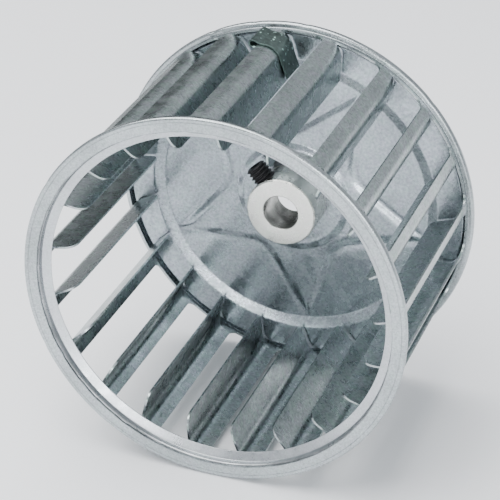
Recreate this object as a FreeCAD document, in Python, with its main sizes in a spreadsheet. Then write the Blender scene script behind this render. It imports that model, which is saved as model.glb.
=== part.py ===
"""Blower motor wheel: a single-inlet, forward-curved centrifugal wheel.

A punched and rolled blade strip, two bands joined by 21 blades, is hemmed over the edge of an
inlet ring in front and of a pressed back disc behind.  A turned hub is swaged into the disc and
takes the motor shaft, which one socket set screw clamps.  A spring clip balances the wheel.

Each piece is drawn about the wheel axis, with Y measured back from the front rim, and its
Placement then puts the wheel's centre at the origin: +Y runs from the inlet to the back disc.
"""
import FreeCAD, Part
import math
import os
import re

import Sketcher

DIMS = {
    # whole wheel
    "outer_dia": 132.4, "wheel_width": 84.4,
    # inlet ring: a coned mouth, a short wall and a flange held in the strip's hem
    "inlet_dia": 116.0, "ring_face": 4.35, "ring_thk": 0.9, "ring_wall_rad": 60.9,
    "cone_foot": 2.9, "ring_bend": 0.5, "cone_back_in": 0.4, "cone_back_run": 0.8,
    # blade strip: two bands, each flared out and hemmed inward
    "cage_dia": 128.6, "strip_thk": 0.7, "hem_edge_rad": 61.3, "flange_rad": 64.8,
    "layer_gap": 0.05, "hem_bevel": 0.5, "window_front": 3.4, "window_back": 80.3,
    # blades
    "blade_count": 21, "blade_first": -54.9, "seam_blade": 5, "seam_shift": -2.5,
    "seam_spread": 3, "leaf_start_x": -1.3, "leaf_start_z": 63.95, "leaf_angle": 80.0,
    "leaf_len": 6.6, "leg_angle": 9.5, "leg_len": 12.0, "blade_bend": 5.0, "leg_front": 7.3,
    "leg_top": 62.1, "front_corner": 4.0, "back_corner": 2.5,
    # back disc
    "disc_thk": 0.9, "disc_face": 81.8, "panel_face": 83.2, "boss_face": 81.6,
    "step_rad": 54.0, "step_run": 4.0, "boss_rad": 19.0, "boss_run": 1.7, "disc_edge_rad": 62.2,
    "edge_run": 0.9, "disc_hole_rad": 9.6,
    # star pressed into the disc panel
    "star_arms": 5, "star_first": 28.5, "star_tip": 46.0, "star_valley_x": 13.0,
    "star_valley_y": 18.0, "star_height": 1.0, "star_wall": 1.2,
    # hub
    "bore_dia": 12.7, "hub_dia": 25.4, "hub_face": 68.7, "hub_chamfer": 0.3,
    "spigot_rad": 9.5, "swage_rad": 10.8, "swage_back": 83.9,
    # set screw
    "screw_dia": 7.94, "screw_len": 9.5, "screw_head_rad": 18.2, "screw_angle": -39.0,
    "screw_place": 73.95, "screw_gap": 0.05, "socket_flats": 3.97, "socket_depth": 3.6,
    "screw_chamfer": 0.7, "cup_rad": 2.0, "cup_depth": 0.8,
    # balance clip
    "clip_blade": 4, "clip_front": 66.0, "clip_width": 12.0, "clip_thk": 0.6, "clip_gap": 0.1,
    "clip_loop": 2.9, "clip_lift": 1.5, "clip_leg": 11.0, "clip_stand": 0.7, "clip_inner": 2.2,
}

doc = FreeCAD.newDocument("blower_wheel")
sheet = doc.addObject("Spreadsheet::Sheet", "Dims")
for row, (alias, value) in enumerate(DIMS.items(), start=1):
    sheet.set("A%d" % row, alias)
    sheet.set("B%d" % row, str(value))
    sheet.setAlias("B%d" % row, alias)
doc.recompute()

FUNCTIONS = ("cos", "sin", "sqrt", "tan")


def bound(text):
    """An expression in the sheet's aliases, with the sheet's name put before each one."""
    def prefix(word):
        name = word.group(0)
        return name if name in FUNCTIONS else "Dims." + name
    return re.sub(r"[a-z][a-z_]*", prefix, text)


def size(alias):
    return float(sheet.get(alias))


def new_body(label):
    body = doc.addObject("PartDesign::Body", label)
    body.Label = label
    return body


def origin_plane(body, role):
    return next(item for item in body.Origin.OriginFeatures if item.Role == role)


def new_sketch(body, name, role, offset="0"):
    """A sketch on one of the body's origin planes, moved along the plane's normal by offset."""
    sketch = body.newObject("Sketcher::SketchObject", name)
    sketch.AttachmentSupport = (origin_plane(body, role), [""])
    sketch.MapMode = "FlatFace"
    sketch.setExpression("AttachmentOffset.Base.z", bound(offset))
    return sketch


def closed_outline(sketch, corners):
    """A closed loop of straight lines through corners, each an expression pair (x, y)."""
    count = len(corners)
    turn = 2 * math.pi / count
    start = [FreeCAD.Vector(math.cos(i * turn), math.sin(i * turn), 0) for i in range(count)]
    for i in range(count):
        sketch.addGeometry(Part.LineSegment(start[i], start[(i + 1) % count]))
    for i in range(count):
        sketch.addConstraint(Sketcher.Constraint("Coincident", i, 2, (i + 1) % count, 1))
    for i, pair in enumerate(corners):
        for kind, begin, text in zip(("DistanceX", "DistanceY"), start[i], pair):
            index = sketch.addConstraint(Sketcher.Constraint(kind, -1, 1, i, 1, begin))
            sketch.setExpression("Constraints[%d]" % index, bound(text))


def circle_at(sketch, centre_y, radius):
    circle = sketch.addGeometry(Part.Circle(FreeCAD.Vector(0, 1, 0), FreeCAD.Vector(0, 0, 1), 1))
    sketch.addConstraint(Sketcher.Constraint("PointOnObject", circle, 3, -2))
    place = sketch.addConstraint(Sketcher.Constraint("DistanceY", -1, 1, circle, 3, 1.0))
    sketch.setExpression("Constraints[%d]" % place, bound(centre_y))
    wide = sketch.addConstraint(Sketcher.Constraint("Radius", circle, 1.0))
    sketch.setExpression("Constraints[%d]" % wide, bound(radius))


def turned(label, corners, angle=None):
    """A body revolved about its own Y axis from an outline of (radius, distance back)."""
    body = new_body(label)
    sketch = new_sketch(body, label + "_profile", "XY_Plane")
    closed_outline(sketch, corners)
    turn = body.newObject("PartDesign::Revolution", label + "_turn")
    turn.Profile = sketch
    turn.ReferenceAxis = (sketch, ["V_Axis"])
    turn.Angle = 360
    if angle is not None:
        turn.setExpression("Angle", bound(angle))
    sketch.Visibility = False
    return body


def add_pad(body, sketch, length, reverse):
    pad = body.newObject("PartDesign::Pad", sketch.Name + "_pad")
    pad.Profile = sketch
    pad.setExpression("Length", bound(length))
    pad.Reversed = reverse
    return pad


def add_pocket(body, sketch, length, reverse):
    """A pocket that must take material away: a wrong direction is an error."""
    doc.recompute()
    before = body.Shape.Volume
    pocket = body.newObject("PartDesign::Pocket", sketch.Name + "_pocket")
    pocket.Profile = sketch
    pocket.setExpression("Length", bound(length))
    pocket.Reversed = reverse
    doc.recompute()
    if body.Shape.Volume > before - 0.5:
        raise RuntimeError("%s cuts nothing" % pocket.Name)
    return pocket


def on_wheel(body, clock_deg=0.0):
    """Place a body drawn about the wheel axis: turned clockwise, as seen from the inlet."""
    shift = FreeCAD.Vector(0, -size("wheel_width") / 2, 0)
    body.Placement = FreeCAD.Placement(shift, FreeCAD.Rotation(FreeCAD.Vector(0, 1, 0), clock_deg))


def inlet_ring():
    """Coned inlet mouth, a short wall forward and a flange that the strip's hem holds."""
    flange_face = "strip_thk + layer_gap"
    body = turned("inlet_ring", [
        ("inlet_dia / 2", "ring_face"),
        ("ring_wall_rad", "cone_foot"),
        ("ring_wall_rad", flange_face + " + ring_bend"),
        ("ring_wall_rad + ring_bend", flange_face),
        ("flange_rad", flange_face),
        ("flange_rad", flange_face + " + ring_thk"),
        ("ring_wall_rad + ring_thk", flange_face + " + ring_thk"),
        ("ring_wall_rad + ring_thk", "cone_foot + ring_bend"),
        ("inlet_dia / 2 + cone_back_in", "ring_face + cone_back_run"),
    ])
    on_wheel(body)
    return body


def hemmed_band(label, window_edge, depth):
    """A band of the strip: flared out at its far edge, then hemmed inward over a flange.

    depth turns a distance in from the wheel's end face into a distance back.
    """
    hem_in = "strip_thk"
    flare_out = "2 * strip_thk + 2 * layer_gap + disc_thk"
    flare_in = "strip_thk + 2 * layer_gap + disc_thk"
    outer = "outer_dia / 2"
    fold = "outer_dia / 2 - strip_thk"
    body = turned(label, [
        ("cage_dia / 2 - strip_thk", window_edge),
        ("cage_dia / 2 - strip_thk", depth(flare_in)),
        (fold + " - layer_gap", depth(flare_in)),
        (fold, depth(flare_in + " - layer_gap")),
        (fold, depth(hem_in)),
        ("hem_edge_rad", depth(hem_in)),
        ("hem_edge_rad", depth("0")),
        (outer + " - hem_bevel", depth("0")),
        (outer, depth("hem_bevel")),
        (outer, depth(flare_in + " - hem_bevel")),
        (outer + " - 2 * hem_bevel", depth(flare_out)),
        ("cage_dia / 2", depth(flare_out)),
        ("cage_dia / 2", window_edge),
    ])
    on_wheel(body)
    return body


def front_band():
    return hemmed_band("front_band", "window_front", lambda inward: inward)


def rear_band():
    return hemmed_band("rear_band", "window_back", lambda inward: "wheel_width - (%s)" % inward)


def leaf_point(along, lift):
    """(x, z) on a blade's outer leaf at 12 o'clock: along it from its edge, and off to a side."""
    angle = math.radians(size("leaf_angle"))
    return (size("leaf_start_x") + along * math.sin(angle) + lift * math.cos(angle),
            size("leaf_start_z") - along * math.cos(angle) + lift * math.sin(angle))


def leg_point(along, lift):
    """(x, z) on a blade's inner leg at 12 o'clock, measured from the corner with the leaf."""
    angle = math.radians(size("leg_angle"))
    corner = leaf_point(size("leaf_len"), 0)
    return (corner[0] + along * math.sin(angle) + lift * math.cos(angle),
            corner[1] - along * math.cos(angle) + lift * math.sin(angle))


def blade_clock(number):
    """Clock angle of a blade; the strip's butt seam draws the last ones before it forward."""
    clock = size("blade_first") + (number - 1) * 360.0 / size("blade_count")
    if number <= size("seam_blade"):
        clock += size("seam_shift") * min(1.0, number / size("seam_spread"))
    return clock


def blade_outline():
    """The blade's section as expressions: leaf, sharp corner and leg, on both of its sides."""
    corner_x = "leaf_start_x + leaf_len * sin(leaf_angle)"
    corner_z = "leaf_start_z - leaf_len * cos(leaf_angle)"
    half_turn = "(leaf_angle - leg_angle) / 2"
    mid_angle = "(leaf_angle + leg_angle) / 2"

    def side(sign):
        off = sign + " strip_thk / 2"
        return [
            ("leaf_start_x %s * cos(leaf_angle)" % off, "leaf_start_z %s * sin(leaf_angle)" % off),
            ("%s %s * cos(%s) / cos(%s)" % (corner_x, off, mid_angle, half_turn),
             "%s %s * sin(%s) / cos(%s)" % (corner_z, off, mid_angle, half_turn)),
            ("%s + leg_len * sin(leg_angle) %s * cos(leg_angle)" % (corner_x, off),
             "%s - leg_len * cos(leg_angle) %s * sin(leg_angle)" % (corner_z, off)),
        ]
    return side("+") + side("-")[::-1]


def nearest_edge(body, point):
    """Name of the edge of a body whose middle is nearest to a point."""
    edges = body.Shape.Edges
    nearest = min(range(len(edges)), key=lambda i: edges[i].CenterOfMass.distanceToPoint(point))
    return "Edge%d" % (nearest + 1)


def round_edge(body, name, point, radius):
    base = body.Tip
    corner = body.newObject("PartDesign::Fillet", "%s_%s" % (body.Label, name))
    corner.Base = (base, [nearest_edge(body, point)])
    corner.setExpression("Radius", bound(radius))
    doc.recompute()


def blade(number):
    """One blade: an outer leaf, a bend and an inner leg whose free corners are rounded."""
    body = new_body("blade_%02d" % number)
    section = new_sketch(body, body.Label + "_section", "XZ_Plane", "-window_front")
    closed_outline(section, blade_outline())
    add_pad(body, section, "window_back - window_front", True)
    doc.recompute()
    middle = (size("window_front") + size("window_back")) / 2
    half = size("strip_thk") / 2
    for name, lift, radius in (("bend_outside", half, "blade_bend + strip_thk / 2"),
                               ("bend_inside", -half, "blade_bend - strip_thk / 2")):
        x, z = leg_point(0, lift)
        round_edge(body, name, FreeCAD.Vector(x, middle, z), radius)
    relief = new_sketch(body, body.Label + "_relief", "XZ_Plane", "-window_front")
    beside = "leaf_len + leg_len"
    below = "leg_top - leg_len - leaf_len"
    closed_outline(relief, [("0", "leg_top"), ("0", below), (beside, below), (beside, "leg_top")])
    add_pocket(body, relief, "leg_front - window_front", False)
    x, z = leg_point(size("leg_len"), 0)
    round_edge(body, "front_corner", FreeCAD.Vector(x, size("leg_front"), z), "front_corner")
    round_edge(body, "back_corner", FreeCAD.Vector(x, size("window_back"), z), "back_corner")
    on_wheel(body, blade_clock(number))
    return body


def back_disc():
    """Pressed disc: an edge flange in the strip's hem, a margin, a sunk panel and a hub seat."""
    flange_face = "wheel_width - strip_thk - layer_gap - disc_thk"
    slant = "disc_thk / 3"
    body = turned("back_disc", [
        ("disc_hole_rad", "boss_face"),
        ("boss_rad", "boss_face"),
        ("boss_rad + boss_run", "panel_face"),
        ("step_rad - step_run", "panel_face"),
        ("step_rad", "disc_face"),
        ("disc_edge_rad", "disc_face"),
        ("disc_edge_rad + edge_run", flange_face),
        ("flange_rad", flange_face),
        ("flange_rad", flange_face + " + disc_thk"),
        ("disc_edge_rad + edge_run / 2", flange_face + " + disc_thk"),
        ("disc_edge_rad - %s" % slant, "disc_face + disc_thk"),
        ("step_rad + %s" % slant, "disc_face + disc_thk"),
        ("step_rad - step_run + %s" % slant, "panel_face + disc_thk"),
        ("boss_rad + boss_run - %s" % slant, "panel_face + disc_thk"),
        ("boss_rad - %s" % slant, "boss_face + disc_thk"),
        ("disc_hole_rad", "boss_face + disc_thk"),
    ])
    doc.recompute()
    raised = new_sketch(body, "star_face", "XZ_Plane", "-panel_face")
    closed_outline(raised, [
        ("0", "star_valley_y"),
        ("star_valley_x", "star_valley_y"),
        ("0", "star_tip"),
        ("-star_valley_x", "star_valley_y"),
    ])
    pad = add_pad(body, raised, "star_height", False)
    hollow = new_sketch(body, "star_back", "XZ_Plane", "-(panel_face + disc_thk)")
    closed_outline(hollow, [
        ("0", "star_valley_y + boss_run + star_wall"),
        ("star_valley_x - 2 * star_wall", "star_valley_y + boss_run + star_wall"),
        ("0", "star_tip - 4 * star_wall"),
        ("-(star_valley_x - 2 * star_wall)", "star_valley_y + boss_run + star_wall"),
    ])
    pocket = add_pocket(body, hollow, "star_height", True)
    arms = body.newObject("PartDesign::PolarPattern", "star_arms")
    arms.Originals = [pad, pocket]
    arms.Axis = (raised, ["N_Axis"])
    arms.Angle = 360
    arms.setExpression("Occurrences", bound("star_arms"))
    body.Tip = arms
    on_wheel(body, size("star_first"))
    return body


def hub():
    """Turned hub, drawn with its set-screw hole along +Z, then turned to the screw's angle."""
    body = turned("hub", [
        ("bore_dia / 2", "hub_face + hub_chamfer"),
        ("bore_dia / 2 + hub_chamfer", "hub_face"),
        ("hub_dia / 2 - hub_chamfer", "hub_face"),
        ("hub_dia / 2", "hub_face + hub_chamfer"),
        ("hub_dia / 2", "boss_face"),
        ("spigot_rad", "boss_face"),
        ("spigot_rad", "boss_face + disc_thk"),
        ("swage_rad", "boss_face + disc_thk"),
        ("swage_rad", "swage_back - hub_chamfer"),
        ("swage_rad - hub_chamfer", "swage_back"),
        ("bore_dia / 2 + hub_chamfer", "swage_back"),
        ("bore_dia / 2", "swage_back - hub_chamfer"),
    ])
    hole = new_sketch(body, "screw_hole", "XY_Plane")
    circle_at(hole, "screw_place", "screw_dia / 2 + screw_gap")
    add_pocket(body, hole, "hub_dia", True)
    on_wheel(body, size("screw_angle"))
    return body


def set_screw():
    """Socket set screw drawn from its socket end (Y = 0) to its cup point, along +Y."""
    body = turned("set_screw", [
        ("0", "0"),
        ("screw_dia / 2 - screw_chamfer", "0"),
        ("screw_dia / 2", "screw_chamfer"),
        ("screw_dia / 2", "screw_len - 2 * screw_chamfer"),
        ("cup_rad", "screw_len"),
        ("0", "screw_len - cup_depth"),
    ])
    socket = new_sketch(body, "socket", "XZ_Plane")
    side = "socket_flats / 2"
    near = "socket_flats * 0.288675"
    far = "socket_flats * 0.57735"
    closed_outline(socket, [
        (side, near), ("0", far), ("-" + side, near),
        ("-" + side, "-" + near), ("0", "-" + far), (side, "-" + near),
    ])
    add_pocket(body, socket, "socket_depth", False)
    outward = math.radians(size("screw_angle"))
    direction = FreeCAD.Vector(math.sin(outward), 0, math.cos(outward))
    start = direction * size("screw_head_rad")
    start.y = size("screw_place") - size("wheel_width") / 2
    body.Placement = FreeCAD.Placement(start, FreeCAD.Rotation(FreeCAD.Vector(0, 1, 0), -direction))
    return body


def bend_points(lift, count=6):
    """Points along the rounded bend between a blade's leg and leaf, off to its outer side."""
    turn = math.radians(size("leaf_angle") - size("leg_angle"))
    setback = size("blade_bend") * math.tan(turn / 2)
    centre = leaf_point(size("leaf_len") - setback, -size("blade_bend"))
    radius = size("blade_bend") + lift
    points = []
    for step in range(count + 1):
        angle = math.radians(size("leg_angle")) + turn * step / count
        points.append((centre[0] + radius * math.cos(angle), centre[1] + radius * math.sin(angle)))
    return points


def ribbon(path, thickness):
    """Closed outline of an open path given a thickness, mitred at every corner."""
    headings = [math.atan2(b[1] - a[1], b[0] - a[0]) for a, b in zip(path, path[1:])]
    before, after = headings[:1] + headings, headings + headings[-1:]
    left, right = [], []
    for (x, z), first, last in zip(path, before, after):
        turn = math.remainder(last - first, 2 * math.pi) / 2
        across = thickness / 2 / math.cos(turn)
        dx, dz = -across * math.sin(first + turn), across * math.cos(first + turn)
        left.append((x + dx, z + dz))
        right.append((x - dx, z - dz))
    return left + right[::-1]


def balance_clip():
    """Spring clip on one blade: a long leg round its outer side, an open loop, a short leg."""
    snug = size("strip_thk") / 2 + size("clip_gap") + size("clip_thk") / 2
    loop, lift = size("clip_loop"), size("clip_lift")
    path = [leg_point(size("clip_leg"), snug + size("clip_stand"))]
    path += bend_points(snug)
    path += [leaf_point(1.2, snug + 0.1), leaf_point(-loop / 3, lift),
             leaf_point(-loop * 0.8, lift * 0.8), leaf_point(-loop, lift * 0.2),
             leaf_point(-loop * 0.75, -snug), leaf_point(size("clip_inner"), -snug)]
    corners = [FreeCAD.Vector(x, 0, z) for x, z in ribbon(path, size("clip_thk"))]
    face = Part.Face(Part.makePolygon(corners + corners[:1]))
    clip = doc.addObject("Part::Feature", "balance_clip")
    clip.Label = "balance_clip"
    clip.Shape = face.extrude(FreeCAD.Vector(0, size("clip_width"), 0))
    on_wheel(clip, blade_clock(size("clip_blade")))
    clip.Placement.Base.y += size("clip_front")
    return clip


blades = [blade(number) for number in range(1, int(size("blade_count")) + 1)]
pieces = [inlet_ring(), front_band(), rear_band(), *blades, back_disc(), hub(), set_screw(),
          balance_clip()]
doc.recompute()

for item in doc.Objects:
    if "Invalid" in item.State or "Error" in item.State:
        raise RuntimeError("%s failed to build" % item.Name)
for piece in pieces:
    if piece.Shape.isNull() or not piece.Shape.isValid() or len(piece.Shape.Solids) != 1:
        raise RuntimeError("%s isn't one valid solid" % piece.Label)

os.makedirs("parts", exist_ok=True)
for piece in pieces:
    piece.Shape.exportStep(os.path.join("parts", piece.Label + ".step"))
print("wrote %d pieces" % len(pieces))
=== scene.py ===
"""Looks of the blower motor wheel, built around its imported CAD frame."""
import math

import bmesh
import bpy
import numpy as np
from mathutils import Matrix, Vector


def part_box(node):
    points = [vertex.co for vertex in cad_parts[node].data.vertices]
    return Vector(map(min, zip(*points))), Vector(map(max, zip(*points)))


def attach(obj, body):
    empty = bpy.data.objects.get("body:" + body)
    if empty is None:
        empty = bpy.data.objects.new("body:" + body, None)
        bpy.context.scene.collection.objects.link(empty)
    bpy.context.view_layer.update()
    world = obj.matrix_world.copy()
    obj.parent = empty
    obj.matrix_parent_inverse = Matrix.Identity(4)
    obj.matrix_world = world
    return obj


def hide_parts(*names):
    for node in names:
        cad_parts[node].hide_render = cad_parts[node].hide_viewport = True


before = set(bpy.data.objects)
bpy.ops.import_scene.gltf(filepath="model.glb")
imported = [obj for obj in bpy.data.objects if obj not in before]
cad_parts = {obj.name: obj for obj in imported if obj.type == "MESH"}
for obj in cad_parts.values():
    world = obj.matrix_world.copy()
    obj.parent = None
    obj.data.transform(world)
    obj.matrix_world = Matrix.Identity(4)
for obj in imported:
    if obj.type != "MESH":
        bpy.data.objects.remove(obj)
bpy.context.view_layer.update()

MM = 0.001
WHEEL = "wheel"
STEPS = 288                     # quads round a plain spun piece
HEM_STEPS = 576                 # round a band, whose hem has small dents
DISC_STEPS = 480
HUB_STEPS = 160
ARC_STEPS = 6                   # segments in each bend of a sheet's section

# Driving sizes in millimetres.  "back" distances are measured from the front rim's plane.
FRONT_LOW, FRONT_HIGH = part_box("front_band")
REAR_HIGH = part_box("rear_band")[1]
HUB_LOW, HUB_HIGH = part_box("hub")
FRONT = FRONT_LOW.y / MM
WIDTH = (REAR_HIGH.y - FRONT_LOW.y) / MM
RIM_RAD = FRONT_HIGH.z / MM
HUB_RAD = 12.7
HUB_FACE = (HUB_LOW.y - FRONT_LOW.y) / MM
HUB_BACK = (HUB_HIGH.y - FRONT_LOW.y) / MM

INLET_RAD = 58.0
WALL_MID = 61.35                # middle of the ring's short wall
FLANGE_RAD = 64.8               # edge of the ring's and the disc's flanges, inside the hems
HEM_MID, FLARE_MID = 0.38, 2.05     # middles of a band's two outer layers, in from the end face
FOLD_MID = 65.82                # middle of the fold between those layers
CAGE_RAD = 64.3
STRIP = 0.7                     # strip thickness
SHEET = 0.9                     # ring and disc thickness
MID_CAGE = CAGE_RAD - STRIP / 2
WINDOW_FRONT, WINDOW_BACK = 3.4, 80.3
DISC_FACE, PANEL_FACE, BOSS_FACE = 81.8, 83.2, 81.6
DISC_EDGE = 62.2

BLADES = 21
BLADE_FIRST = -54.9
SEAM_BLADE, SEAM_SHIFT, SEAM_SPREAD = 5, -2.5, 3
LEAF_START = Vector((-1.3, 63.95))      # sideways and outward, with the blade at 12 o'clock
LEAF_ANGLE, LEG_ANGLE = 80.0, 9.5       # from straight inward
LEAF_LENGTH, LEG_LENGTH = 6.6, 12.0     # to and from the corner of the bend
BLADE_BEND = 5.0

BORE_RAD = 6.35
SCREW_ANGLE = -39.0
SCREW_RAD = 3.95
SCREW_OUT, SCREW_IN = 18.18, 8.72
SCREW_BACK = 73.95
SCREW_PITCH = 25.4 / 18
THREAD_DEPTH = 0.75
SOCKET_FLATS = 3.97

CLIP_BLADE = 4
CLIP_FRONT, CLIP_BACK = 66.02, 77.98
CLIP_THICKNESS = 0.6


# ---------------------------------------------------------------- mesh helpers

def place(radius, clock, back):
    """Metres, from a radius, a clock angle (degrees, clockwise from the inlet) and a depth."""
    turn = math.radians(clock)
    return Vector((radius * math.sin(turn), FRONT + back, radius * math.cos(turn))) * MM


def mesh_object(name, points, faces, smooth=True):
    mesh = bpy.data.meshes.new(name)
    mesh.from_pydata([tuple(p) for p in points], [], faces)
    mesh.update()
    edit = bmesh.new()
    edit.from_mesh(mesh)
    bmesh.ops.remove_doubles(edit, verts=edit.verts, dist=1e-6)
    bmesh.ops.recalc_face_normals(edit, faces=edit.faces)
    edit.to_mesh(mesh)
    edit.free()
    if smooth:
        mesh.polygons.foreach_set("use_smooth", [True] * len(mesh.polygons))
    item = bpy.data.objects.new(name, mesh)
    bpy.context.scene.collection.objects.link(item)
    return item


def thicken(item, thickness, edge=0.12):
    """Sheet metal: an even thickness about the middle surface, with eased cut edges."""
    solid = item.modifiers.new("thickness", "SOLIDIFY")
    solid.thickness = thickness * MM
    solid.offset = 0.0
    solid.use_even_offset = True
    solid.use_quality_normals = True
    ease = item.modifiers.new("eased_edges", "BEVEL")
    ease.width = edge * MM
    ease.segments = 2
    ease.limit_method = "ANGLE"
    ease.angle_limit = math.radians(50)
    ease.harden_normals = True
    return item


def finish_piece(item, body, slot, material, *nodes):
    """Give a piece its material, and let it ride its body in place of CAD nodes."""
    item.data.materials.clear()
    item.data.materials.append(material)
    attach(item, body)
    if nodes:
        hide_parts(*nodes)
    return item


def rounded_path(corners, arc_steps):
    """Points along straight runs joined by bends; corners are (radius, back, bend radius)."""
    points = [Vector(corners[0][:2])]
    for before, corner, after in zip(corners, corners[1:], corners[2:]):
        here = Vector(corner[:2])
        into = (Vector(before[:2]) - here).normalized()
        away = (Vector(after[:2]) - here).normalized()
        half = into.angle(away) / 2
        bend = corner[2]
        if bend <= 0:
            points.append(here)
            continue
        reach = bend / math.tan(half)
        centre = here + (into + away).normalized() * (bend / math.sin(half))
        start = here + into * reach - centre
        end = here + away * reach - centre
        turn = start.angle(end)
        for step in range(arc_steps + 1):
            share = step / arc_steps
            mixed = start * math.sin((1 - share) * turn) + end * math.sin(share * turn)
            points.append(centre + mixed / math.sin(turn))
    points.append(Vector(corners[-1][:2]))
    return points


def split_runs(points, longest):
    """The same path, with no run longer than the given length."""
    out = [points[0]]
    for before, after in zip(points, points[1:]):
        pieces = max(1, math.ceil((after - before).length / longest))
        out += [before.lerp(after, (i + 1) / pieces) for i in range(pieces)]
    return out


def spun(name, path, closed=False, steps=STEPS, shape=None):
    """Turn a path of (radius, back) round the wheel axis; shape may move each point."""
    points, faces = [], []
    count = len(path)
    for step in range(steps):
        clock = 360.0 * step / steps
        for radius, back in path:
            if shape:
                radius, back = shape(radius, back, clock)
            points.append(place(radius, clock, back))
    rows = count if closed else count - 1
    for step in range(steps):
        following = (step + 1) % steps
        for row in range(rows):
            up = (row + 1) % count
            faces.append((step * count + row, following * count + row,
                          following * count + up, step * count + up))
    return mesh_object(name, points, faces)


def grid_faces(columns, rows):
    """Quads over points that run down each column in turn."""
    return [(first, first + 1, first + rows + 1, first + rows)
            for column in range(columns - 1)
            for first in range(column * rows, column * rows + rows - 1)]


def smooth_step(value, low, high):
    """A share that eases from 0 at low to 1 at high."""
    share = min(1.0, max(0.0, (value - low) / (high - low)))
    return share * share * (3 - 2 * share)


def wave(clock, parts):
    """A gentle unevenness round the wheel, from a few whole-number waves."""
    return sum(size * math.sin(math.radians(clock * turns + phase)) for turns, size, phase in parts)


# ---------------------------------------------------------------- materials

def metal(name, colour, rough, cloud=0.10, speckle=0.12, bump=0.10, metallic=1.0,
          speckle_scale=1500.0, cloud_scale=70.0, tint=0.02, painted_shade_rings=(), turned=0.0,
          chips=0.0):
    """Metal with soft clouds, fine speckle and a slight unevenness of gloss and surface.

    Painted shade rings are (radius, half width, depth) of dark lines round the wheel axis, in mm,
    painted where crevices, grooves and a bore fall into shade, and turned is the strength of fine
    lathe lines.  chips brightens small worn spots.
    """
    material = bpy.data.materials.new(name)
    material.use_nodes = True
    nodes, links = material.node_tree.nodes, material.node_tree.links
    shader = nodes["Principled BSDF"]
    shader.inputs["Metallic"].default_value = metallic
    where = nodes.new("ShaderNodeTexCoord")

    def noise(scale, detail):
        texture = nodes.new("ShaderNodeTexNoise")
        texture.inputs["Scale"].default_value = scale
        texture.inputs["Detail"].default_value = detail
        links.new(where.outputs["Object"], texture.inputs["Vector"])
        return texture

    def spread(source, low, high):
        ramp = nodes.new("ShaderNodeMapRange")
        ramp.inputs["From Min"].default_value = 0.3
        ramp.inputs["From Max"].default_value = 0.7
        ramp.inputs["To Min"].default_value = low
        ramp.inputs["To Max"].default_value = high
        links.new(source, ramp.inputs["Value"])
        return ramp.outputs["Result"]

    def multiply(a, b):
        product = nodes.new("ShaderNodeMath")
        product.operation = "MULTIPLY"
        links.new(a, product.inputs[0])
        links.new(b, product.inputs[1])
        return product.outputs[0]

    clouds = noise(cloud_scale, 3.0)
    specks = noise(speckle_scale, 2.0)
    shade = multiply(spread(clouds.outputs["Fac"], 1 - cloud, 1 + cloud),
                     spread(specks.outputs["Fac"], 1 - speckle, 1 + speckle))
    flat = nodes.new("ShaderNodeVectorMath")
    flat.operation = "MULTIPLY"
    flat.inputs[1].default_value = (1000.0, 0.0, 1000.0)
    links.new(where.outputs["Object"], flat.inputs[0])
    radius = nodes.new("ShaderNodeVectorMath")
    radius.operation = "LENGTH"
    links.new(flat.outputs["Vector"], radius.inputs[0])
    # Painted shade: each ring darkens the colour in a band round the axis, by an uneven depth.
    for ring_radius, half_width, depth in painted_shade_rings:
        patchy = noise(160.0, 3.0)
        off = nodes.new("ShaderNodeMath")
        off.operation = "SUBTRACT"
        off.inputs[1].default_value = ring_radius
        links.new(radius.outputs["Value"], off.inputs[0])
        away = nodes.new("ShaderNodeMath")
        away.operation = "ABSOLUTE"
        links.new(off.outputs[0], away.inputs[0])
        line = nodes.new("ShaderNodeMapRange")
        line.inputs["From Min"].default_value = 0.0
        line.inputs["From Max"].default_value = half_width
        line.inputs["To Max"].default_value = 1.0
        links.new(away.outputs[0], line.inputs["Value"])
        links.new(spread(patchy.outputs["Fac"], 1 - depth, 1 - depth * 0.4), line.inputs["To Min"])
        shade = multiply(shade, line.outputs["Result"])
    if turned:
        lathe = nodes.new("ShaderNodeTexNoise")
        lathe.noise_dimensions = "1D"
        lathe.inputs["Scale"].default_value = 7.0
        lathe.inputs["Detail"].default_value = 2.0
        links.new(radius.outputs["Value"], lathe.inputs["W"])
        shade = multiply(shade, spread(lathe.outputs["Fac"], 1 - turned, 1 + turned))
    if chips:
        spots = nodes.new("ShaderNodeMapRange")
        spots.inputs["From Min"].default_value = 0.66
        spots.inputs["From Max"].default_value = 0.70
        spots.inputs["To Min"].default_value = 1.0
        spots.inputs["To Max"].default_value = 1.0 + chips
        links.new(noise(620.0, 1.0).outputs["Fac"], spots.inputs["Value"])
        shade = multiply(shade, spots.outputs["Result"])
    tinted = nodes.new("ShaderNodeMix")
    tinted.data_type = "RGBA"
    tinted.inputs["A"].default_value = (colour[0] * (1 + tint), colour[1] * (1 - tint / 2),
                                        colour[2] * (1 + tint), 1)
    tinted.inputs["B"].default_value = (colour[0] * (1 - tint), colour[1] * (1 + tint / 2),
                                        colour[2] * (1 - tint / 2), 1)
    chroma = noise(420.0, 2.0)
    links.new(spread(chroma.outputs["Fac"], 0.0, 1.0), tinted.inputs["Factor"])
    scaled = nodes.new("ShaderNodeVectorMath")
    scaled.operation = "SCALE"
    links.new(tinted.outputs["Result"], scaled.inputs[0])
    links.new(shade, scaled.inputs["Scale"])
    links.new(scaled.outputs["Vector"], shader.inputs["Base Color"])
    gloss = noise(240.0, 3.0)
    links.new(spread(gloss.outputs["Fac"], rough - 0.06, rough + 0.07), shader.inputs["Roughness"])
    relief = nodes.new("ShaderNodeBump")
    relief.inputs["Strength"].default_value = bump
    relief.inputs["Distance"].default_value = 0.0002
    links.new(specks.outputs["Fac"], relief.inputs["Height"])
    links.new(relief.outputs["Normal"], shader.inputs["Normal"])
    return material


# Painted shade on both bands: a dark line at r 64.55 on the hem's face, where it begins to round
# over, and one along the hem's inner edge over the crevice.
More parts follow.
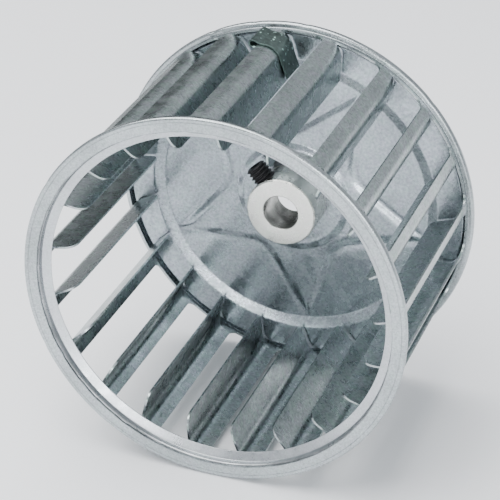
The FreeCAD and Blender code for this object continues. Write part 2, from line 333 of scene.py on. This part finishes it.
RIM_METAL = metal("galvanised_rim", (0.41, 0.45, 0.46), 0.27, cloud=0.12, speckle=0.18,
                  cloud_scale=45.0, bump=0.20, painted_shade_rings=((64.55, 0.25, 0.55), (61.35, 0.3, 0.7)))
STRIP_METAL = metal("galvanised_strip", (0.37, 0.42, 0.415), 0.28, cloud=0.14, speckle=0.24,
                    bump=0.20, tint=0.06, speckle_scale=1100.0)
# Painted shade: a dark band on the ring's short wall, in the crevice under the hem's edge.
RING_METAL = metal("galvanised_ring", (0.53, 0.56, 0.58), 0.30, cloud=0.06, speckle=0.10,
                   painted_shade_rings=((61.3, 0.6, 0.75),))
# Painted shade: a dark band round the disc's edge, in the crevice between it and the rear band.
DISC_METAL = metal("galvanised_disc", (0.33, 0.37, 0.395), 0.26, cloud=0.14, speckle=0.20, tint=0.035,
                   bump=0.22, speckle_scale=1000.0, painted_shade_rings=((62.5, 0.5, 0.7),))
# Painted shade: the bore's wall darkened, standing in for the shade inside the bore.
HUB_METAL = metal("plated_hub", (0.74, 0.75, 0.70), 0.28, cloud=0.04, speckle=0.05, bump=0.05,
                  turned=0.10, painted_shade_rings=((6.35, 0.22, 0.85),))
SCREW_METAL = metal("black_oxide", (0.012, 0.012, 0.013), 0.45, cloud=0.2, speckle=0.3,
                    metallic=0.4)
CLIP_METAL = metal("spring_clip", (0.085, 0.12, 0.11), 0.33, cloud=0.25, speckle=0.3,
                   metallic=0.85, speckle_scale=700.0, chips=6.0)


# ---------------------------------------------------------------- inlet ring and bands

def inlet_ring():
    """Coned inlet mouth, a short wall and the flange that the strip's hem holds."""
    path = rounded_path([
        (INLET_RAD + 0.2, 4.75, 0),
        (WALL_MID, 3.15, 0.8),
        (WALL_MID, 1.2, 0.6),
        (FLANGE_RAD, 1.2, 0),
    ], ARC_STEPS)

    def uneven(radius, back, clock):
        lift = wave(clock, ((3, 0.05, 20), (7, 0.03, 80), (17, 0.015, 10)))
        return radius + (0.0 if radius > 60.5 else lift * 0.7), back
    ring = spun("inlet_ring_sheet", split_runs(path, 1.2), shape=uneven)
    thicken(ring, SHEET)
    return finish_piece(ring, WHEEL, "galvanised_ring", RING_METAL, "inlet_ring")


def hemmed_band(name, node, window, depth, dents):
    """A band flared out at its far edge and hemmed inward, with a few dents in the hem."""
    path = rounded_path([
        (61.4, depth(HEM_MID), 0),
        (FOLD_MID, depth(HEM_MID), 0.45),
        (FOLD_MID, depth(FLARE_MID), 0.5),
        (MID_CAGE, depth(FLARE_MID), 0.6),
        (MID_CAGE, window, 0),
    ], ARC_STEPS)

    def worn(radius, back, clock):
        inward = abs(back - depth(0))
        if inward < 1.0:
            ragged = wave(clock, ((31, 0.06, 0), (53, 0.05, 40), (89, 0.04, 10)))
            radius += (ragged - 0.05) * smooth_step(62.6 - radius, 0.0, 1.2)
        for middle, spread, deep in dents:
            off = abs((clock - middle + 180) % 360 - 180) / spread
            if off < 1 and radius > 64.5:
                radius -= deep * (1 - off * off) ** 2
        return radius, back
    item = spun(name, split_runs(path, 0.9), steps=HEM_STEPS, shape=worn)
    thicken(item, STRIP, 0.08)
    return finish_piece(item, WHEEL, "galvanised_strip", RIM_METAL, node)


def front_band():
    return hemmed_band("front_band_sheet", "front_band", WINDOW_FRONT, lambda inward: inward,
                       ((214, 2.2, 0.14), (246, 2.0, 0.16), (301, 2.2, 0.12)))


def rear_band():
    return hemmed_band("rear_band_sheet", "rear_band", WINDOW_BACK,
                       lambda inward: WIDTH - inward,
                       ((-27, 1.8, 0.16), (-13, 1.9, 0.16), (3, 1.8, 0.16), (48, 2.2, 0.14)))


# ---------------------------------------------------------------- blades

TURN = math.radians(LEAF_ANGLE - LEG_ANGLE)
SETBACK = BLADE_BEND * math.tan(TURN / 2)
LEAF_FLAT = LEAF_LENGTH - SETBACK
ARC_LENGTH = BLADE_BEND * TURN
BLADE_LENGTH = LEAF_FLAT + ARC_LENGTH + LEG_LENGTH - SETBACK
NECK = 3.6                      # width of the neck that joins a blade to the front band
RECESS_FRONT = 7.3
CORNER_FRONT, CORNER_BACK = 4.0, 2.5
TWIST = 3.4                     # length over which a neck turns from band to blade


def inward_and_side(angle):
    """Unit directions along and across a flat of the section, angle from straight inward."""
    turn = math.radians(angle)
    return Vector((math.sin(turn), -math.cos(turn))), Vector((math.cos(turn), math.sin(turn)))


def section_point(along, lift=0.0):
    """(sideways, outward) along the blade's section from its outer edge, lifted to one side."""
    run, side = inward_and_side(LEAF_ANGLE)
    if along <= LEAF_FLAT:
        return LEAF_START + run * along + side * lift
    if along <= LEAF_FLAT + ARC_LENGTH:
        centre = LEAF_START + run * LEAF_FLAT - side * BLADE_BEND
        angle = math.radians(LEAF_ANGLE) - (along - LEAF_FLAT) / BLADE_BEND
        return centre + Vector((math.cos(angle), math.sin(angle))) * (BLADE_BEND + lift)
    corner = LEAF_START + run * LEAF_LENGTH
    run, side = inward_and_side(LEG_ANGLE)
    return corner + run * (along - LEAF_FLAT - ARC_LENGTH + SETBACK) + side * lift


def place_spot(spot, clock, back):
    """Metres, from a (sideways, outward) point of a section turned to a clock angle."""
    return place(spot.length, clock + math.degrees(math.atan2(spot.x, spot.y)), back)


def blade_clock(number):
    """Clock angle of a blade; the last ones before the strip's seam are drawn forward."""
    clock = BLADE_FIRST + (number - 1) * 360.0 / BLADES
    if number <= SEAM_BLADE:
        clock += SEAM_SHIFT * min(1.0, number / SEAM_SPREAD)
    return clock


def blade_point(along, back, clock):
    """A point of the strip: on the band's cylinder at the necks, on the blade elsewhere."""
    near_end = min(back - WINDOW_FRONT, WINDOW_BACK - back)
    banded = (1 - smooth_step(near_end, -0.2, TWIST)) * (1 - smooth_step(along, 2.4, 6.0))
    spot = section_point(along)
    turn = (along + LEAF_START.x) / MID_CAGE
    on_band = Vector((MID_CAGE * math.sin(turn), MID_CAGE * math.cos(turn)))
    return place_spot(spot.lerp(on_band, banded), clock, back)


def end_lines():
    """Columns of the blade: (along, front edge, back edge), with rounded inner corners."""
    columns = [(NECK * 0.75 * step / 4, WINDOW_FRONT, WINDOW_BACK) for step in range(5)]
    for step in range(1, 9):
        turn = math.pi / 2 * step / 8
        columns.append((NECK * 0.75 + 2.2 * (1 - math.cos(turn)),
                        WINDOW_FRONT + (RECESS_FRONT - WINDOW_FRONT) * math.sin(turn),
                        WINDOW_BACK))
    first = columns[-1][0]
    straight_end = BLADE_LENGTH - CORNER_FRONT
    for step in range(1, 15):
        columns.append((first + (straight_end - first) * step / 14, RECESS_FRONT, WINDOW_BACK))
    for step in range(1, 9):
        turn = math.pi / 2 * step / 8
        along = straight_end + CORNER_FRONT * math.sin(turn)
        past = max(0.0, along - (BLADE_LENGTH - CORNER_BACK))
        round_back = CORNER_BACK - math.sqrt(max(0.0, CORNER_BACK ** 2 - past ** 2))
        columns.append((along, RECESS_FRONT + CORNER_FRONT * (1 - math.cos(turn)),
                        WINDOW_BACK - round_back))
    return columns


END_ROWS = [0.0, 0.4, 0.8, 1.3, 1.8, 2.4, 3.0, 3.8, 4.8]


def blade(number, rng):
    """One blade with its two necks, as one sheet that continues into the bands."""
    clock = blade_clock(number)
    columns = end_lines()
    middle_rows = 24
    lean = rng.normal(0, 0.10)
    bow = rng.normal(0, 0.10)
    points = []

    def bent(along, back):
        """Small random lean and bow, so that no two blades are quite alike."""
        inward = smooth_step(along, 2.0, BLADE_LENGTH)
        middle = math.sin(math.pi * (back - WINDOW_FRONT) / (WINDOW_BACK - WINDOW_FRONT))
        return blade_point(along, back, clock + inward * (lean * 0.5 + bow * middle))

    for along, low, high in columns:
        rows = [low + step for step in END_ROWS]
        top, bottom = low + END_ROWS[-1], high - END_ROWS[-1]
        rows += [top + (bottom - top) * i / middle_rows for i in range(1, middle_rows)]
        rows += [high - step for step in reversed(END_ROWS)]
        points += [bent(along, back) for back in rows]
    faces = grid_faces(len(columns), len(END_ROWS) * 2 + middle_rows - 1)
    for edge, sense, used in ((WINDOW_FRONT, 1, 8), (WINDOW_BACK, -1, 7)):
        gusset = END_ROWS[used - 1]
        grid = []
        for step in range(9):
            turn = math.pi / 2 * step / 8
            along = -gusset * (1 - math.sin(turn))
            share = 1 - math.cos(turn)
            grid.append(len(points))
            points += [bent(along, edge + sense * share * row) for row in END_ROWS[:used]]
        for low, high in zip(grid, grid[1:]):
            for row in range(used - 1):
                faces.append((low + row, high + row, high + row + 1, low + row + 1))
    item = mesh_object("blade_%02d_sheet" % number, points, faces)
    clean_faces(item)
    thicken(item, STRIP, 0.10)
    return finish_piece(item, WHEEL, "galvanised_strip", STRIP_METAL, "blade_%02d" % number)


def clean_faces(item):
    """Drop faces and edges of no size, such as a gusset's first row."""
    edit = bmesh.new()
    edit.from_mesh(item.data)
    bmesh.ops.dissolve_degenerate(edit, dist=2e-6, edges=edit.edges)
    loose = [v for v in edit.verts if not v.link_faces]
    bmesh.ops.delete(edit, geom=loose, context="VERTS")
    bmesh.ops.recalc_face_normals(edit, faces=edit.faces)
    edit.to_mesh(item.data)
    edit.free()
    item.data.polygons.foreach_set("use_smooth", [True] * len(item.data.polygons))


# ---------------------------------------------------------------- back disc

STAR_ARMS = 5
STAR_FIRST = 28.5
STAR_TIP, STAR_VALLEY = 47.0, 22.5


def star_depth(radius, clock):
    """Distance inside the star's outline (negative outside), with its valleys rounded."""
    pitch = 360.0 / STAR_ARMS
    turn = (clock - STAR_FIRST + pitch / 2) % pitch - pitch / 2
    tip = Vector((0.0, STAR_TIP))
    half = math.radians(pitch / 2)
    valley = Vector((STAR_VALLEY * math.sin(half), STAR_VALLEY * math.cos(half)))
    along = (valley - tip).normalized()
    inward = Vector((-along.y, along.x))
    if inward.dot(-tip) < 0:
        inward = -inward

    def inside(angle):
        point = Vector((radius * math.sin(angle), radius * math.cos(angle)))
        return inward.dot(point - tip)
    angle = abs(math.radians(turn))
    first, second = inside(angle), inside(2 * half - angle)
    soft = 5.0
    mix = max(0.0, soft - abs(first - second)) / soft
    return max(first, second) + mix * mix * soft * 0.25


def back_disc():
    """Hub seat, sunk panel with its star, margin and the flange held in the rear hem."""
    half = SHEET / 2
    path = rounded_path([
        (9.7, BOSS_FACE + half, 0),
        (18.6, BOSS_FACE + half, 2.0),
        (21.0, PANEL_FACE + half, 2.0),
        (49.6, PANEL_FACE + half, 2.6),
        (53.6, DISC_FACE + half, 2.6),
        (DISC_EDGE + 0.2, DISC_FACE + half, 0.5),
        (DISC_EDGE + 0.8, WIDTH - 1.2, 0.5),
        (FLANGE_RAD, WIDTH - 1.2, 0),
    ], ARC_STEPS)

    def pressed(radius, back, clock):
        if radius < 52 and back < WIDTH:
            inside = star_depth(radius, clock)
            fade = smooth_step(radius, 17.0, 22.0)
            raised = 0.75 * smooth_step(inside, -1.4, 1.8)
            crease = 0.22 * math.exp(-((inside + 1.2) / 1.1) ** 2)
            back -= (raised - crease) * fade * (1 - smooth_step(radius, 47.0, 49.0))
        return radius, back
    disc = spun("back_disc_sheet", split_runs(path, 0.9), steps=DISC_STEPS, shape=pressed)
    thicken(disc, SHEET, 0.10)
    return finish_piece(disc, WHEEL, "galvanised_disc", DISC_METAL, "back_disc")


# ---------------------------------------------------------------- hub and set screw

def hub():
    """Turned hub with chamfers, bore, swaged collar and the set screw's hole."""
    corners = [
        (BORE_RAD, HUB_FACE + 0.3, 0), (BORE_RAD + 0.3, HUB_FACE, 0),
        (HUB_RAD - 0.5, HUB_FACE, 0.15), (HUB_RAD, HUB_FACE + 0.5, 0.3),
        (HUB_RAD, BOSS_FACE, 0), (9.5, BOSS_FACE, 0), (9.5, BOSS_FACE + SHEET, 0),
        (10.8, BOSS_FACE + SHEET, 0), (10.8, HUB_BACK - 0.6, 0.3), (10.2, HUB_BACK, 0.3),
        (BORE_RAD + 0.5, HUB_BACK, 0), (BORE_RAD, HUB_BACK - 0.5, 0),
    ]
    body = spun("hub_turned", rounded_path(corners, 3), closed=True, steps=HUB_STEPS)
    cutter = screw_cylinder("hub_hole_cutter", SCREW_RAD + 0.08, 2.0, HUB_RAD + 3.0)
    cut = body.modifiers.new("screw_hole", "BOOLEAN")
    cut.object = cutter
    cut.solver = "EXACT"
    apply_modifiers(body)
    bpy.data.objects.remove(cutter)
    ease = body.modifiers.new("eased_edges", "BEVEL")
    ease.width = 0.12 * MM
    ease.segments = 2
    ease.limit_method = "ANGLE"
    ease.angle_limit = math.radians(40)
    ease.harden_normals = True
    return finish_piece(body, WHEEL, "plated_hub", HUB_METAL, "hub")


def apply_modifiers(item):
    """Bake an object's modifiers into its mesh, so that a cutter can be removed."""
    shown = item.evaluated_get(bpy.context.evaluated_depsgraph_get())
    made = bpy.data.meshes.new_from_object(shown)
    item.modifiers.clear()
    item.data = made


def screw_frame():
    """Matrix whose +Z runs outward along the set screw's axis, from the wheel's axis."""
    outward = place(1.0, SCREW_ANGLE, 0) - place(0.0, 0, 0)
    origin = place(0.0, 0, SCREW_BACK)
    return Matrix.Translation(origin) @ outward.to_track_quat("Z", "Y").to_matrix().to_4x4()


def screw_ring(matrix, radius_at, height, steps):
    """A ring of points round the screw's axis; the radius may change round it."""
    turns = [2 * math.pi * step / steps for step in range(steps)]
    return [matrix @ (Vector((radius_at(turn) * math.cos(turn), radius_at(turn) * math.sin(turn),
                              height)) * MM) for turn in turns]


def plain(radius):
    return lambda turn: radius


def ring_faces(rings, steps):
    """Walls between rings of points, and a cap over the first and the last."""
    faces = [(row * steps + step, row * steps + (step + 1) % steps,
              (row + 1) * steps + (step + 1) % steps, (row + 1) * steps + step)
             for row in range(rings - 1) for step in range(steps)]
    faces.append(tuple(range(steps))[::-1])
    faces.append(tuple(range((rings - 1) * steps, rings * steps)))
    return faces


def screw_cylinder(name, radius, low, high, steps=48):
    matrix = screw_frame()
    points = []
    for height in (low, high):
        points += screw_ring(matrix, plain(radius), height, steps)
    return mesh_object(name, points, ring_faces(2, steps), smooth=False)


def set_screw():
    """Socket set screw with a helical thread, a hexagon socket and a cup point."""
    matrix = screw_frame()
    steps, rows_per_turn = 72, 14
    length = SCREW_OUT - SCREW_IN
    rows = int(length / SCREW_PITCH * rows_per_turn)

    def hexagon(turn):
        flat = (turn + math.pi / 6) % (math.pi / 3) - math.pi / 6
        return SOCKET_FLATS / 2 / math.cos(flat)

    def threaded(height):
        """Radius round the thread at a height, cut back by the chamfer at either end."""
        def radius_at(turn):
            phase = (height / SCREW_PITCH - turn / (2 * math.pi)) % 1.0
            crest = 1 - min(1.0, max(0.0, abs(phase - 0.5) * 2.6 - 0.15))
            taper_in = 2.4 + (height - SCREW_IN) * 1.1
            taper_out = 3.15 + (SCREW_OUT - height) * 1.0
            return min(SCREW_RAD - THREAD_DEPTH * (1 - crest), taper_in, taper_out)
        return radius_at

    rings = [(SCREW_IN + 0.75, plain(0.7)), (SCREW_IN + 0.35, plain(1.6)),
             (SCREW_IN, plain(2.1))]
    for row in range(rows + 1):
        height = SCREW_IN + 0.25 + (length - 0.5) * row / rows
        rings.append((height, threaded(height)))
    rings += [(SCREW_OUT, plain(3.05)), (SCREW_OUT, plain(2.42)), (SCREW_OUT - 0.1, hexagon),
              (SCREW_OUT - 3.2, hexagon), (SCREW_OUT - 3.6, plain(0.4))]
    points = []
    for height, radius_at in rings:
        points += screw_ring(matrix, radius_at, height, steps)
    screw = mesh_object("set_screw_threaded", points, ring_faces(len(rings), steps))
    screw.data.set_sharp_from_angle(angle=math.radians(42))
    return finish_piece(screw, "set_screw", "black_oxide", SCREW_METAL, "set_screw")


# ---------------------------------------------------------------- balance clip

def smooth_curve(points, steps):
    """A curve through all the points but the first, which only gives its first direction."""
    points = [Vector(point) for point in points]
    curve = []
    for before, start, end, after in zip(points, points[1:], points[2:],
                                         points[3:] + points[-1:]):
        leaving, arriving = (end - before) / 2, (after - start) / 2
        for step in range(1, steps + 1):
            t = step / steps
            curve.append(start * (2 * t ** 3 - 3 * t ** 2 + 1) + leaving * (t ** 3 - 2 * t ** 2 + t)
                         + end * (3 * t ** 2 - 2 * t ** 3) + arriving * (t ** 3 - t ** 2))
    return curve


def balance_clip():
    """Spring clip: a long leg on the blade's outer face, a loop over its edge, a short leg."""
    clock = blade_clock(CLIP_BLADE)
    snug = STRIP / 2 + 0.4
    leg_end = BLADE_LENGTH - 1.0
    section = []
    for step in range(41):
        share = step / 40
        stand = 0.7 * smooth_step(1 - share, 0.45, 1.0)
        section.append(section_point(leg_end + (1.2 - leg_end) * share, snug + stand))
    loop = [(3.4, snug), (1.2, snug), (-0.97, 1.45), (-2.3, 1.2), (-2.88, 0.3), (-2.2, -0.72),
            (-0.4, -snug), (2.2, -snug)]
    section += [section_point(spot.x, spot.y) for spot in smooth_curve(loop, 8)]
    rows = 40
    backs = [CLIP_FRONT + (CLIP_BACK - CLIP_FRONT) * row / rows for row in range(rows + 1)]
    points = [place_spot(spot, clock, back) for spot in section for back in backs]
    clip = mesh_object("balance_clip_spring", points, grid_faces(len(section), len(backs)))
    thicken(clip, CLIP_THICKNESS, 0.10)
    return finish_piece(clip, WHEEL, "spring_clip", CLIP_METAL, "balance_clip")


# ---------------------------------------------------------------- stage, light, camera

def plain_material(name, colour, rough):
    material = bpy.data.materials.new(name)
    material.use_nodes = True
    shader = material.node_tree.nodes["Principled BSDF"]
    shader.inputs["Base Color"].default_value = (*colour, 1)
    shader.inputs["Roughness"].default_value = rough
    return material


def stage_sheet(name, corners, material):
    sheet = mesh_object(name, corners, [(0, 1, 2, 3)])
    sheet.data.materials.append(material)


def stage():
    """Pale floor, pale surroundings and a dark card that the upper left blades reflect."""
    low = -RIM_RAD * MM - 0.0003
    reach = 4.0
    stage_sheet("floor", [(-reach, -reach, low), (reach, -reach, low), (reach, reach, low),
                          (-reach, reach, low)],
                plain_material("pale_floor", (0.93, 0.94, 0.96), 0.6))
    card_left, card_right, card_top = (-2.4, 0.9), (-0.1, 1.5), 0.9
    stage_sheet("dark_card", [(*card_left, low), (*card_right, low), (*card_right, card_top),
                              (*card_left, card_top)],
                plain_material("dark_card", (0.04, 0.045, 0.045), 0.5))
    world = bpy.data.worlds.new("studio")
    world.use_nodes = True
    world.node_tree.nodes["Background"].inputs["Color"].default_value = (0.86, 0.90, 0.95, 1)
    world.node_tree.nodes["Background"].inputs["Strength"].default_value = 0.78
    bpy.context.scene.world = world


def area_light(name, position, target, size, power, colour=(1, 1, 1)):
    light = bpy.data.lights.new(name, "AREA")
    light.shape = "RECTANGLE"
    light.size, light.size_y = size
    light.energy = power
    light.color = colour
    item = bpy.data.objects.new(name, light)
    item.location = position
    item.rotation_mode = "QUATERNION"
    item.rotation_quaternion = (Vector(target) - Vector(position)).to_track_quat("-Z", "Y")
    bpy.context.scene.collection.objects.link(item)


def camera():
    """The viewing angle: in front of the inlet, to its right and above."""
    data = bpy.data.cameras.new("camera")
    data.lens = 140.4
    data.sensor_width = 36.0
    item = bpy.data.objects.new("camera", data)
    right = Vector((0.9377, 0.3474, 0.0))
    up = Vector((-0.1684, 0.4550, 0.8746))
    back = Vector((0.3038, -0.8199, 0.4848))
    turn = Matrix((right, up, back)).transposed().to_4x4()
    item.matrix_world = Matrix.Translation(Vector((0.2003, -0.5449, 0.3209))) @ turn
    bpy.context.scene.collection.objects.link(item)
    bpy.context.scene.camera = item


inlet_ring()
front_band()
rear_band()
random_lean = np.random.default_rng(7)
for blade_number in range(1, BLADES + 1):
    blade(blade_number, random_lean)
back_disc()
hub()
set_screw()
balance_clip()
stage()
area_light("overhead", (-0.35, -0.15, 1.1), (0, 0, 0), (1.5, 1.2), 33.0)
area_light("front_fill", (0.9, -1.3, 0.6), (0, 0, 0), (0.8, 0.8), 8.0, (0.97, 0.98, 1.0))
area_light("front_low", (0.22, -1.5, 0.14), (0, 0, 0.02), (0.9, 0.34), 9.0, (0.98, 0.99, 1.0))
camera()
